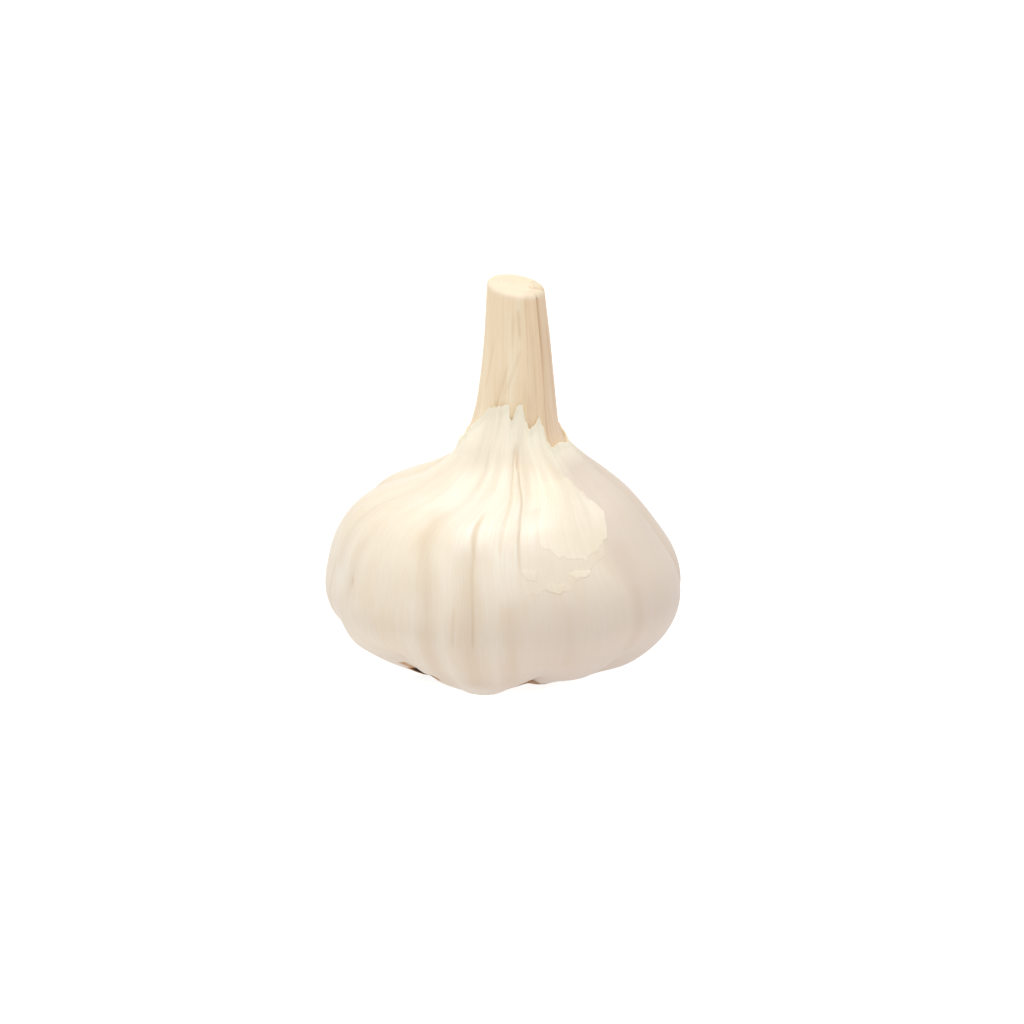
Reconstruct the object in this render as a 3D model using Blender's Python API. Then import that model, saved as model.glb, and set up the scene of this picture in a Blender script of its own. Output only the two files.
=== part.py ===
"""A whole garlic bulb, standing on its base: nine cloves closed in a papery wrapper, the cut neck of
dried leaf sheaths, two torn rests of the outermost skin, and the corky root plate underneath.

Metres, +Z up. The origin is on the surface that the bulb stands on, under the middle of the head. Angles
go round the head from its front (-Y), positive towards +X. The shapes are worked out in millimetres.
"""

import bpy
import numpy as np

MM = 0.001
SHARP_ANGLE = np.radians(50)  # between two faces, above which the edge between them stays sharp

# The head's side outline from the middle of its base up to the neck, in millimetres: left edge, right
# edge, height, depth of the groove between two cloves, and how far the wrapper bridges that groove.
OUTLINE = np.array(
    (
        (0.0, 0.0, 3.9, 0.0, 0.3),
        (-7.4, 7.4, 3.8, 0.0, 0.3),
        (-9.6, 9.8, 2.8, 0.7, 0.3),
        (-10.8, 11.2, 0.7, 1.8, 0.3),
        (-12.9, 12.6, -0.7, 2.4, 0.3),
        (-16.6, 16.9, 0.9, 2.4, 0.3),
        (-21.0, 22.5, 3.3, 2.1, 0.5),
        (-26.8, 27.6, 8.3, 1.4, 0.9),
        (-29.4, 29.9, 13.4, 1.2, 1.0),
        (-29.1, 29.1, 19.0, 1.2, 1.0),
        (-27.2, 25.6, 24.8, 1.1, 0.9),
        (-22.7, 21.7, 29.8, 1.1, 0.8),
        (-14.1, 17.7, 33.4, 1.0, 0.8),
        (-9.2, 13.8, 36.4, 0.8, 0.6),
        (-6.9, 10.6, 39.6, 0.5, 0.5),
        (-4.9, 9.0, 43.5, 0.2, 0.4),
        (-3.9, 8.4, 48.5, 0.0, 0.4),
        (-3.1, 7.7, 56.0, 0.0, 0.4),
        (-2.7, 6.9, 63.0, 0.0, 0.4),
        (-2.4, 6.5, 68.0, 0.0, 0.4),
    )
)
COLLAR_STATION = 13.0  # the outline's point where the head turns up into the collar round the neck

# Each clove: the angle of its middle at the shoulder and at its foot in degrees, how far it stands out
# from the outline, and how far its foot is lifted off the ground, in millimetres.
CLOVES = np.array(
    (
        (-11.0, -16.0, 0.3, 0.5),
        (25.0, 35.0, -0.1, 1.5),
        (67.0, 72.0, 0.0, 0.4),
        (110.0, 113.0, -0.1, 0.0),
        (151.0, 151.0, 0.3, 0.0),
        (191.0, 188.0, -0.4, 0.4),
        (229.0, 222.0, 0.3, 0.0),
        (266.0, 255.0, -0.2, 0.1),
        (305.0, 277.0, -0.2, 0.0),
    )
)
FULL_GROOVE = 2.0  # mm of groove at which a clove's own reach and lift count in full
FOOT_TOP = 8.0  # mm, below which a lifted clove's foot rises
TURN_TOP = 12.0  # mm, below which the cloves turn towards their feet
TURN_LENGTH = 10.0  # mm of height over which they turn
LEAST_POWER = -40  # a clove this far below the surface no longer counts in its rounding

# The wrapper's ragged upper edge round the neck: angle in degrees, height in millimetres.
HEM = np.array(
    (
        (-90.0, 39.1),
        (-72.0, 42.0),
        (-42.0, 45.8),
        (-18.0, 46.6),
        (-4.0, 45.6),
        (9.0, 45.8),
        (18.0, 42.9),
        (33.0, 44.4),
        (46.0, 39.6),
        (85.0, 39.4),
        (122.0, 42.6),
        (150.0, 44.6),
        (178.0, 41.0),
        (206.0, 43.8),
        (236.0, 40.4),
    )
)

COLUMNS = 80  # columns of faces round the head
ROWS = 26  # rows of faces from the middle of the base to the collar
COLLAR_ROWS = 4
COLUMN_DEG = 360 / COLUMNS

GAP = 0.3  # mm between pieces that touch
COLLAR_THICKNESS = 0.9
RIM_DROP = 0.25  # mm that the collar's edge slopes down inwards
SOCKET_FLOOR = 37.2  # mm, the bottom of the hollow that the neck stands in
SOCKET_ROWS = 4

# The neck: the height above the collar's edge at which its sheaths reach the outline, the radius of its
# core, and the slanted cut at its end.
NECK_SWELL = 3.0
HEM_NEARBY = (-12.0, -6.0, 0.0, 6.0, 12.0)  # degrees to both sides from which the collar counts
CORE_RADIUS = 2.9
CUT_HEIGHT = 65.2
CUT_RISE_RIGHT = -0.14
CUT_RISE_BACK = 0.18
CORE_RECESS = 0.5  # mm that the core's end lies below the cut ends of the sheaths
CORE_BEVEL = 0.5  # mm that the core's rim is rounded off
CORE_END_SIZE = 0.8  # the core's flat end, as a share of its radius
CORE_CORNERS = 20
NECK_HEIGHTS = (SOCKET_FLOOR + GAP, 39.0, 40.5, 42.0, 43.5, 45.0, 46.5, 48.0, 50.0, 55.0, 60.0)
SHEATH_EDGE = 0.5  # mm that a sheath's cut end is rounded off
# Each dried leaf sheath: from and to angle round the neck in degrees, and how far it stands in.
SHEATHS = {
    "neck_sheath_left": (-100.0, 17.0, 0.0),
    "neck_sheath_middle": (17.0, 47.0, 0.25),
    "neck_sheath_right": (47.0, 130.0, 0.05),
    "neck_sheath_rear": (130.0, 260.0, 0.0),
}
SHEATH_STEP_DEG = 13.0

# The torn outer skins: thickness, and the ragged lower edge of each as points of (angle in degrees,
# station of the outline). Their sides run straight up from its two ends to the collar.
SKIN_THICKNESS = 0.35
SKIN_TOP_STATION = 13.0
SKIN_ROWS = 12
FRONT_SKIN_LOWER_EDGE = (
    (-9.0, 9.8),
    (-4.5, 9.4),
    (4.5, 9.7),
    (13.5, 9.3),
    (22.5, 9.2),
    (31.5, 9.6),
    (36.0, 9.9),
    (40.5, 9.8),
    (45.0, 10.2),
    (49.5, 10.6),
    (54.0, 11.2),
)
REAR_SKIN_LOWER_EDGE = (
    (148.5, 9.2),
    (157.5, 8.8),
    (166.5, 9.1),
    (175.5, 8.5),
    (184.5, 8.7),
    (193.5, 8.2),
    (202.5, 8.5),
    (211.5, 9.1),
    (216.0, 9.3),
)

# The root plate: a corky disc in the hollow under the head, its rim bulging, with the stubs of the
# trimmed roots.
PLATE_BOTTOM = 1.2
PLATE_TOP = 3.4
PLATE_RIM = ((4.4, 1.1), (7.4, 1.4), (8.0, 2.0), (7.2, PLATE_TOP))  # radius, height
PLATE_CORNERS = 28
STUB_ROOT_RADIUS = 6.7
STUB_ROOT_HEIGHT = 2.05
STUB_TAPER = ((0.0, 1.0), (0.6, 0.85), (1.0, 0.5))  # share of the length, share of the radius
STUBS = 15
STUB_LENGTH = 2.6
STUB_RADIUS = 0.55
STUB_CORNERS = 6
STUB_SLOPE = np.radians(24)
STUB_TURN_SPREAD = 0.18  # share of the step between two stubs that they stray from even spacing
STUB_LENGTH_SPREAD = 0.16  # share of their length
STUB_POINT = 0.1  # mm that the middle of each end of a stub stands out

CREAM = (0.84, 0.74, 0.60)
PALE_CREAM = (0.88, 0.80, 0.67)
TAN = (0.74, 0.58, 0.40)
WARM_TAN = (0.72, 0.54, 0.38)
CUT_CREAM = (0.90, 0.80, 0.64)
ROOT_BROWN = (0.25, 0.15, 0.08)


def clear_scene():
    for obj in list(bpy.data.objects):
        bpy.data.objects.remove(obj, do_unlink=True)


def material(name, colour, roughness):
    made = bpy.data.materials.new(name)
    made.use_nodes = True
    surface = made.node_tree.nodes["Principled BSDF"]
    surface.inputs["Base Color"].default_value = (*colour, 1)
    surface.inputs["Roughness"].default_value = roughness
    surface.inputs["Metallic"].default_value = 0
    return made


def add_object(name, points, faces, surface):
    """A mesh object from points in millimetres."""
    mesh = bpy.data.meshes.new(name)
    mesh.from_pydata([tuple(point) for point in np.asarray(points) * MM], [], faces)
    mesh.materials.append(surface)
    mesh.shade_smooth()
    mesh.set_sharp_from_angle(angle=SHARP_ANGLE)
    obj = bpy.data.objects.new(name, mesh)
    bpy.context.scene.collection.objects.link(obj)
    return obj


def smooth_step(share):
    share = np.clip(share, 0, 1)
    return share * share * (3 - 2 * share)


def outline_at(station):
    """Radius, middle, height, groove and fill of the outline, on a smooth curve through its points."""
    last = len(OUTLINE) - 1
    station = np.clip(station, 0, last)
    k = np.minimum(np.floor(station).astype(int), last - 1)
    f = (station - k)[..., None]
    before = OUTLINE[np.maximum(k - 1, 0)]
    start = OUTLINE[k]
    end = OUTLINE[k + 1]
    after = OUTLINE[np.minimum(k + 2, last)]
    row = 0.5 * (
        2 * start
        + (end - before) * f
        + (2 * before - 5 * start + 4 * end - after) * f**2
        + (3 * start - 3 * end + after - before) * f**3
    )
    left, right, height, groove, fill = np.moveaxis(row, -1, 0)
    return (right - left) / 2, (right + left) / 2, height, np.maximum(groove, 0), fill


def head_surface(degrees, station):
    """Points of the wrapped cloves: the outline swept round, swelling over each, grooved between."""
    radius, middle, height, groove, fill = outline_at(station)
    step = 0.001
    radius_up, _, height_up, _, _ = outline_at(station + step)
    radius_down, _, height_down, _, _ = outline_at(station - step)
    run = radius_up - radius_down
    rise = height_up - height_down
    size = np.hypot(run, rise)

    grown = np.clip(groove / FULL_GROOVE, 0, 1)
    foot = np.clip(1 - height / FOOT_TOP, 0, 1)
    low = smooth_step((TURN_TOP - height) / TURN_LENGTH)
    width = fill / 2 + 0.05
    halves = (np.roll(CLOVES[:, :2], -1, 0) - np.roll(CLOVES[:, :2], 1, 0)) % 360 / 4
    total = 0
    for (clove, clove_low, reach, lift), (half, half_low) in zip(CLOVES, halves):
        off = (degrees - clove - (clove_low - clove) * low + 180) % 360 - 180
        across = off / (half + (half_low - half) * low)
        swell = (reach - lift * foot) * grown - groove * across**2
        total = total + np.exp(np.maximum(swell / width, LEAST_POWER))
    # What evenly spaced cloves would add up to at the middle of one: the level of the outline.
    even = 2.0 * (np.arange(len(CLOVES)) - len(CLOVES) // 2)
    level = np.log(np.exp(-(groove / width)[..., None] * even**2).sum(-1))
    out = width * (np.log(total) - level)

    radius = radius + out * rise / size
    height = height - out * run / size
    angle = np.radians(degrees)
    return np.stack([middle + radius * np.sin(angle), -radius * np.cos(angle), height], -1)


def hem_height(degrees):
    return np.interp(degrees, HEM[:, 0], HEM[:, 1], period=360)


def station_at_height(height):
    """The station above the shoulder where the outline has this height."""
    stations = np.linspace(COLLAR_STATION, len(OUTLINE) - 1, 400)
    return np.interp(height, outline_at(stations)[2], stations)


def head_grid():
    """Rows of points from the base to the wrapper's upper edge, each once round the head."""
    degrees = -180 + COLUMN_DEG * np.arange(COLUMNS)
    hem = station_at_height(hem_height(degrees))
    rows = [np.full(COLUMNS, COLLAR_STATION * k / ROWS) for k in range(1, ROWS + 1)]
    rows += [COLLAR_STATION + (hem - COLLAR_STATION) * k / COLLAR_ROWS for k in range(1, COLLAR_ROWS + 1)]
    grid = head_surface(np.broadcast_to(degrees, (len(rows), COLUMNS)), np.array(rows))
    grid[..., 2] = np.maximum(grid[..., 2], 0)  # the feet that carry the bulb are pressed flat
    return grid


def on_head(grid, degrees, station, away):
    """Points at a distance from the head's faces, so that a skin lies evenly over them."""
    column = (np.asarray(degrees) + 180) / COLUMN_DEG
    row = np.asarray(station) / COLLAR_STATION * ROWS - 1
    c = np.floor(column).astype(int)
    r = np.clip(np.floor(row).astype(int), 0, len(grid) - 2)
    fc = (column - c)[..., None]
    fr = (row - r)[..., None]
    lower = grid[r, c % COLUMNS] * (1 - fc) + grid[r, (c + 1) % COLUMNS] * fc
    upper = grid[r + 1, c % COLUMNS] * (1 - fc) + grid[r + 1, (c + 1) % COLUMNS] * fc
    along = (grid[r, (c + 1) % COLUMNS] - grid[r, c % COLUMNS]) * (1 - fr)
    along = along + (grid[r + 1, (c + 1) % COLUMNS] - grid[r + 1, c % COLUMNS]) * fr
    normal = np.cross(along, upper - lower)
    normal = normal / np.linalg.norm(normal, axis=-1, keepdims=True)
    return lower * (1 - fr) + upper * fr + normal * away


def ring_faces(rows, count, start=0):
    """Faces between rings of count points, each ring above the last and turned the same way."""
    faces = []
    for row in range(rows - 1):
        low = start + row * count
        high = low + count
        for k in range(count):
            nxt = (k + 1) % count
            faces.append((low + k, low + nxt, high + nxt, high + k))
    return faces


def closed_rings(bottom, rings, top):
    """Points and faces of a closed body: a middle point, the rings above it and a point on top."""
    count = len(rings[0])
    points = [bottom, *np.concatenate(rings), top]
    faces = ring_faces(len(rings), count, 1)
    last = 1 + (len(rings) - 1) * count
    for k in range(count):
        nxt = (k + 1) % count
        faces.append((0, 1 + nxt, 1 + k))
        faces.append((last + k, last + nxt, len(points) - 1))
    return points, faces


def slab(outer, inner):
    """Points and faces of a sheet between two grids of points, rows going up, columns to the right."""
    rows, columns = outer.shape[:2]
    points = np.concatenate([outer.reshape(-1, 3), inner.reshape(-1, 3)])
    back = rows * columns

    def at(row, column, side):
        return side * back + row * columns + column

    faces = []
    for r in range(rows - 1):
        for c in range(columns - 1):
            faces.append((at(r, c, 0), at(r, c + 1, 0), at(r + 1, c + 1, 0), at(r + 1, c, 0)))
            faces.append((at(r, c, 1), at(r + 1, c, 1), at(r + 1, c + 1, 1), at(r, c + 1, 1)))
    for r in range(rows - 1):
        right = columns - 1
        faces.append((at(r, 0, 0), at(r + 1, 0, 0), at(r + 1, 0, 1), at(r, 0, 1)))
        faces.append((at(r, right, 1), at(r + 1, right, 1), at(r + 1, right, 0), at(r, right, 0)))
    for c in range(columns - 1):
        top = rows - 1
        faces.append((at(0, c, 1), at(0, c + 1, 1), at(0, c + 1, 0), at(0, c, 0)))
        faces.append((at(top, c, 0), at(top, c + 1, 0), at(top, c + 1, 1), at(top, c, 1)))
    return points, faces


def neck_middle(height):
    return outline_at(station_at_height(height))[1]


def neck_radius(height, degrees):
    """The sheaths' outer radius: the outline where the neck is bare, inside the collar's wall below."""
    radius, _, _, groove, _ = outline_at(station_at_height(height))
    hem_nearby = np.max([hem_height(degrees + off) for off in HEM_NEARBY], axis=0)
    tucked = (COLLAR_THICKNESS + GAP) * smooth_step(1 - (height - hem_nearby) / NECK_SWELL)
    return radius - groove - tucked


def neck_points(degrees, height, radius):
    angle = np.radians(degrees)
    right = neck_middle(height) + radius * np.sin(angle)
    return np.stack(np.broadcast_arrays(right, -radius * np.cos(angle), height), -1)


def cut_height(degrees, radius):
    """Height of the slanted cut across the neck."""
    angle = np.radians(degrees)
    return CUT_HEIGHT + radius * (CUT_RISE_RIGHT * np.sin(angle) - CUT_RISE_BACK * np.cos(angle))


def make_bulb(grid):
    """The head: the wrapped cloves, with the socket of the neck inside the collar."""
    degrees = -180 + COLUMN_DEG * np.arange(COLUMNS)
    rim = hem_height(degrees) - RIM_DROP
    rings = list(grid)
    for share in np.linspace(0, 1, SOCKET_ROWS):
        height = rim + (SOCKET_FLOOR - rim) * share
        rings.append(neck_points(degrees, height, neck_radius(height, degrees) + GAP))
    base = (0, 0, OUTLINE[0, 2])
    middle = (neck_middle(SOCKET_FLOOR), 0, SOCKET_FLOOR)
    points, faces = closed_rings(base, rings, middle)
    add_object("bulb", points, faces, material("wrapper_cream", CREAM, 0.55))


def make_neck_core():
    """The pale inner sheaths at the middle of the neck, which show at the cut."""
    degrees = 360 / CORE_CORNERS * np.arange(CORE_CORNERS)
    rings = [neck_points(degrees, np.full(CORE_CORNERS, height), CORE_RADIUS) for height in NECK_HEIGHTS]
    end_rings = ((CORE_RADIUS, CORE_RECESS + CORE_BEVEL), (CORE_RADIUS * CORE_END_SIZE, CORE_RECESS))
    for radius, below in end_rings:
        rings.append(neck_points(degrees, cut_height(degrees, radius) - below, radius))
    low, high = NECK_HEIGHTS[0], CUT_HEIGHT - CORE_RECESS
    points, faces = closed_rings((neck_middle(low), 0, low), rings, (neck_middle(high), 0, high))
    add_object("neck_core", points, faces, material("cut_cream", CUT_CREAM, 0.6))


def make_sheath(name, start, end, inset, surface):
    """One dried leaf sheath of the neck, between two radial faces, its cut end rounded outside."""
    columns = int(round((end - start) / SHEATH_STEP_DEG)) + 1
    share = np.linspace(0, 1, columns)

    def spread(radius):
        trim = np.degrees(GAP / 2 / radius)
        return start + trim + (end - start - 2 * trim) * share

    outer = []
    inner = []
    inner_radius = CORE_RADIUS + GAP
    inner_degrees = spread(inner_radius)
    for level in NECK_HEIGHTS:
        height = np.full(columns, level)
        degrees = spread(np.min(neck_radius(height, start + (end - start) * share)))
        outer.append(neck_points(degrees, height, neck_radius(height, degrees) - inset))
        inner.append(neck_points(inner_degrees, height, inner_radius))
    for edge, below in ((0.0, SHEATH_EDGE), (SHEATH_EDGE, 0.0)):
        radius = neck_radius(CUT_HEIGHT, degrees) - inset - edge
        outer.append(neck_points(degrees, cut_height(degrees, radius) - below, radius))
        inner_height = cut_height(inner_degrees, inner_radius) - below
        inner.append(neck_points(inner_degrees, inner_height, inner_radius))
    points, faces = slab(np.array(outer), np.array(inner))
    add_object(name, points, faces, surface)


def make_skin(name, grid, lower_edge, surface):
    """A torn rest of the outermost skin, over the wrapper from the collar down to its ragged edge."""
    edge = np.array(lower_edge)
    degrees = np.arange(edge[0, 0], edge[-1, 0] + COLUMN_DEG / 2, COLUMN_DEG)
    lower = np.interp(degrees, edge[:, 0], edge[:, 1])
    share = np.linspace(0, 1, SKIN_ROWS)[:, None]
    station = lower + (SKIN_TOP_STATION - lower) * share
    spread = np.broadcast_to(degrees, station.shape)
    inner = on_head(grid, spread, station, GAP)
    outer = on_head(grid, spread, station, GAP + SKIN_THICKNESS)
    points, faces = slab(outer, inner)
    add_object(name, points, faces, surface)


def make_root_plate():
    """The corky plate that the cloves grow from, with short stubs of the trimmed roots round its edge."""
    surface = material("root_brown", ROOT_BROWN, 0.9)
    angles = 2 * np.pi * np.arange(PLATE_CORNERS) / PLATE_CORNERS
    round_way = np.stack([np.sin(angles), -np.cos(angles), 0 * angles], -1)
    rings = [round_way * radius + np.array((0, 0, height)) for radius, height in PLATE_RIM]
    points, faces = closed_rings((0, 0, PLATE_BOTTOM), rings, (0, 0, PLATE_TOP))
    plate = add_object("root_plate", points, faces, surface)

    stub_points = []
    stub_faces = []
    turns = 2 * np.pi * np.arange(STUB_CORNERS) / STUB_CORNERS
    for k in range(STUBS):
        angle = 2 * np.pi * (k + STUB_TURN_SPREAD * np.sin(5 * k)) / STUBS
        out = np.array((np.sin(angle), -np.cos(angle), 0))
        side = np.array((np.cos(angle), np.sin(angle), 0))
        way = out * np.cos(STUB_SLOPE) - np.array((0, 0, np.sin(STUB_SLOPE)))
        up = np.cross(side, way)
        start = out * STUB_ROOT_RADIUS + np.array((0, 0, STUB_ROOT_HEIGHT))
        length = STUB_LENGTH * (1 + STUB_LENGTH_SPREAD * np.sin(3 * k))
        rings = []
        for share, size in STUB_TAPER:
            middle = start + way * length * share
            around = np.outer(np.cos(turns), side) - np.outer(np.sin(turns), up)
            rings.append(middle + around * STUB_RADIUS * size)
        ends = start - way * STUB_POINT, start + way * (length + STUB_POINT)
        points, faces = closed_rings(ends[0], rings, ends[1])
        first = len(stub_points)
        stub_points += list(points)
        stub_faces += [tuple(first + corner for corner in face) for face in faces]
    stubs = add_object("root_stubs", stub_points, stub_faces, surface)
    stubs.hide_render = True
    stubs.display_type = "WIRE"
    join = plate.modifiers.new("stubs", "BOOLEAN")
    join.operation = "UNION"
    join.solver = "EXACT"
    join.object = stubs


clear_scene()
head = head_grid()
make_bulb(head)
make_neck_core()
tan = material("sheath_tan", TAN, 0.6)
warm_tan = material("sheath_warm_tan", WARM_TAN, 0.6)
for sheath, (from_angle, to_angle, stands_in) in SHEATHS.items():
    make_sheath(sheath, from_angle, to_angle, stands_in, warm_tan if sheath.endswith("right") else tan)
outer_skin = material("outer_skin_pale", PALE_CREAM, 0.5)
make_skin("torn_skin_front", head, FRONT_SKIN_LOWER_EDGE, outer_skin)
make_skin("torn_skin_rear", head, REAR_SKIN_LOWER_EDGE, outer_skin)
make_root_plate()
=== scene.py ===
"""A garlic bulb on a white sweep: the papery head, its torn outer skins, the cut neck and the dry root plate.

Shapes are worked out in millimetres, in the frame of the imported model, and turned into metres as each mesh is
made. Angles go round the bulb from its front (-Y), positive towards +X.
"""

import bpy
import numpy as np
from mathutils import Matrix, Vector


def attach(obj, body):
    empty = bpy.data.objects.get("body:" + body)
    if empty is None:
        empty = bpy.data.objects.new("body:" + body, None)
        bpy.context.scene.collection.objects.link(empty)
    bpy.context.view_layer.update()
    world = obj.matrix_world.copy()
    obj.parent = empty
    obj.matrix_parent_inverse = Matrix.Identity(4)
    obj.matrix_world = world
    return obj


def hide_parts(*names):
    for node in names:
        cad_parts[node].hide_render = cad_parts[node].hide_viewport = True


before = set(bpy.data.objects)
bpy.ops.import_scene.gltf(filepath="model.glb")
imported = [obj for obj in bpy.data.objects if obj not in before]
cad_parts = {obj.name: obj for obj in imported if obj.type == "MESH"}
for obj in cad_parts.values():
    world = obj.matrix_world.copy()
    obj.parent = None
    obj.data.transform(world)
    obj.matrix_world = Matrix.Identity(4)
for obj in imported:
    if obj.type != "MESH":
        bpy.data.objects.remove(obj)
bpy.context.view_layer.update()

# The camera and the light.
# The bulb is seen from its front, a little from above, through a long lens. One broad soft lamp hangs above
# it, a little to the left, and a white sweep under and round it throws light back from everywhere else.
CAMERA_ELEVATION = np.radians(15)
CAMERA_DISTANCE = 0.6
CAMERA_AIM = Vector((0.00148, 0, 0.02705))
CAMERA_LENS = 128.4  # mm
SENSOR_WIDTH = 36  # mm
LAMP_PLACE = Vector((-0.11, -0.02, 1.16))
LAMP_WIDTH = 0.6
LAMP_WATTS = 7.0
LAMP_COLOUR = (1.0, 1.0, 0.95)
SKY_GLOW = 0.69  # how brightly the white surroundings light the bulb from above
SKY_COLOUR = (1.0, 0.975, 0.95, 1)
FLOOR_WIDTH = 8.0
FLOOR_GREY = 0.3
FLOOR_GLOW = 0.9  # the sweep's own brightness in the picture
FLOOR_BOUNCE = 0.62  # and what it throws back at the bulb
BOUNCE_COLOUR = (1.0, 0.95, 0.95, 1)

scene = bpy.context.scene
scene.view_settings.view_transform = "Standard"

lens = bpy.data.cameras.new("photo_camera")
lens.lens = CAMERA_LENS
lens.sensor_width = SENSOR_WIDTH
camera = bpy.data.objects.new("photo_camera", lens)
back = Vector((0, -np.cos(CAMERA_ELEVATION), np.sin(CAMERA_ELEVATION)))
camera.location = CAMERA_AIM + back * CAMERA_DISTANCE
camera.rotation_euler = (-back).to_track_quat("-Z", "Y").to_euler()
scene.collection.objects.link(camera)
scene.camera = camera

lamp = bpy.data.lights.new("soft_lamp", "AREA")
lamp.shape = "DISK"
lamp.size = LAMP_WIDTH
lamp.energy = LAMP_WATTS
lamp.color = LAMP_COLOUR
lamp_stand = bpy.data.objects.new("soft_lamp", lamp)
lamp_stand.location = LAMP_PLACE
lamp_stand.rotation_euler = (CAMERA_AIM - LAMP_PLACE).to_track_quat("-Z", "Y").to_euler()
scene.collection.objects.link(lamp_stand)


def add_node(tree, kind, inputs=None, **settings):
    """A shader node with its settings, and its inputs set or linked by name or number."""
    made = tree.nodes.new(kind)
    for name, value in settings.items():
        setattr(made, name, value)
    for name, value in (inputs or {}).items():
        if isinstance(value, bpy.types.NodeSocket):
            tree.links.new(value, made.inputs[name])
        else:
            made.inputs[name].default_value = value
    return made


def new_material(name):
    """A material, its node tree and its shader."""
    made = bpy.data.materials.new(name)
    made.use_nodes = True
    return made, made.node_tree, made.node_tree.nodes["Principled BSDF"]


surroundings = bpy.data.worlds.new("white_surroundings")
surroundings.use_nodes = True
tree = surroundings.node_tree
tree.nodes.clear()
seen = add_node(tree, "ShaderNodeBackground", {"Color": (1, 1, 1, 1), "Strength": 1.0})
lit = add_node(tree, "ShaderNodeBackground", {"Color": SKY_COLOUR, "Strength": SKY_GLOW})
ray = add_node(tree, "ShaderNodeLightPath")
either = add_node(
    tree, "ShaderNodeMixShader", {0: ray.outputs["Is Camera Ray"], 1: lit.outputs[0], 2: seen.outputs[0]}
)
add_node(tree, "ShaderNodeOutputWorld", {"Surface": either.outputs[0]})
scene.world = surroundings

floor_mesh = bpy.data.meshes.new("white_floor")
half = FLOOR_WIDTH / 2
corners = [(-half, -half, 0), (half, -half, 0), (half, half, 0), (-half, half, 0)]
floor_mesh.from_pydata(corners, [], [(0, 1, 2, 3)])
floor = bpy.data.objects.new("white_floor", floor_mesh)
scene.collection.objects.link(floor)
floor_paint, tree, paint = new_material("white_floor")
paint.inputs["Base Color"].default_value = (FLOOR_GREY, FLOOR_GREY, FLOOR_GREY, 1)
paint.inputs["Roughness"].default_value = 0.9
paint.inputs["Specular IOR Level"].default_value = 0.0
seen = add_node(tree, "ShaderNodeLightPath").outputs["Is Camera Ray"]
tint = add_node(tree, "ShaderNodeMix", {0: seen, 6: BOUNCE_COLOUR, 7: (1, 1, 1, 1)}, data_type="RGBA")
tree.links.new(tint.outputs[2], paint.inputs["Emission Color"])
glow = add_node(tree, "ShaderNodeMapRange", {"Value": seen, "To Min": FLOOR_BOUNCE, "To Max": FLOOR_GLOW})
tree.links.new(glow.outputs[0], paint.inputs["Emission Strength"])
floor_mesh.materials.append(floor_paint)

# The head.
# Nine cloves closed in one dry papery wrapper, cream and faintly veined. It grew as one skin round them: it
# bulges over each clove, sinks in between, gathers in pleats towards the neck and ends there in a ragged hem.
MM = 0.001
OUTLINE = np.array(  # left edge, right edge, height, groove between two cloves, how far the skin bridges it
    (
        (0, 0, 3.9, 0, 0.3),
        (-7.4, 7.4, 3.8, 0, 0.3),
        (-9.6, 9.8, 2.8, 0.7, 0.3),
        (-10.8, 11.2, 0.7, 1.8, 0.3),
        (-12.9, 12.6, -0.7, 2.4, 0.3),
        (-16.6, 16.9, 0.9, 2.4, 0.3),
        (-21, 22.5, 3.3, 2.1, 0.5),
        (-26.8, 27.6, 8.3, 1.4, 0.9),
        (-29.4, 29.9, 13.4, 1.2, 1),
        (-29.1, 29.1, 19, 1.2, 1),
        (-27.2, 25.6, 24.8, 1.1, 0.9),
        (-22.7, 21.7, 29.8, 1.1, 0.8),
        (-14.1, 17.7, 33.4, 1, 0.8),
        (-9.2, 13.8, 36.4, 0.8, 0.6),
        (-6.9, 10.6, 39.6, 0.5, 0.5),
        (-4.9, 9, 43.5, 0.2, 0.4),
        (-3.9, 8.4, 48.5, 0, 0.4),
        (-3.1, 7.7, 56, 0, 0.4),
        (-2.7, 6.9, 63, 0, 0.4),
        (-2.4, 6.5, 68, 0, 0.4),
    )
)
COLLAR_STATION = 13.0  # the outline's point where the head turns up into the collar round the neck
CLOVES = np.array(  # middle at the shoulder and at the foot in degrees, reach, lift of the foot
    (
        (-11, -16, 0.3, 0.5),
        (25, 35, -0.1, 1.5),
        (67, 72, 0, 0.4),
        (110, 113, -0.1, 0),
        (151, 151, 0.3, 0),
        (191, 188, -0.4, 0.4),
        (229, 222, 0.3, 0),
        (266, 255, -0.2, 0.1),
        (305, 277, -0.2, 0),
    )
)
FULL_GROOVE = 2.0  # mm of groove at which a clove's own reach and lift count in full
FOOT_TOP = 8.0  # mm, below which a lifted clove's foot rises
TURN_TOP = 12.0  # mm, below which the cloves turn towards their feet
TURN_LENGTH = 10.0  # mm of height over which they turn
LEAST_POWER = -40  # keeps a far clove's share above nothing
LEAST_BLEND = 0.05  # mm, how softly two cloves meet where the skin doesn't bridge their groove


def smooth_step(share):
    share = np.clip(share, 0, 1)
    return share * share * (3 - 2 * share)


def outline_at(station):
    """Radius, middle, height, groove and fill of the outline, on a smooth curve through its points."""
    last = len(OUTLINE) - 1
    station = np.clip(station, 0, last)
    k = np.minimum(np.floor(station).astype(int), last - 1)
    f = (station - k)[..., None]
    before = OUTLINE[np.maximum(k - 1, 0)]
    start = OUTLINE[k]
    end = OUTLINE[k + 1]
    after = OUTLINE[np.minimum(k + 2, last)]
    row = 0.5 * (
        2 * start
        + (end - before) * f
        + (2 * before - 5 * start + 4 * end - after) * f**2
        + (3 * start - 3 * end + after - before) * f**3
    )
    left, right, height, groove, fill = np.moveaxis(row, -1, 0)
    return (right - left) / 2, (right + left) / 2, height, np.maximum(groove, 0), fill


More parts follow.
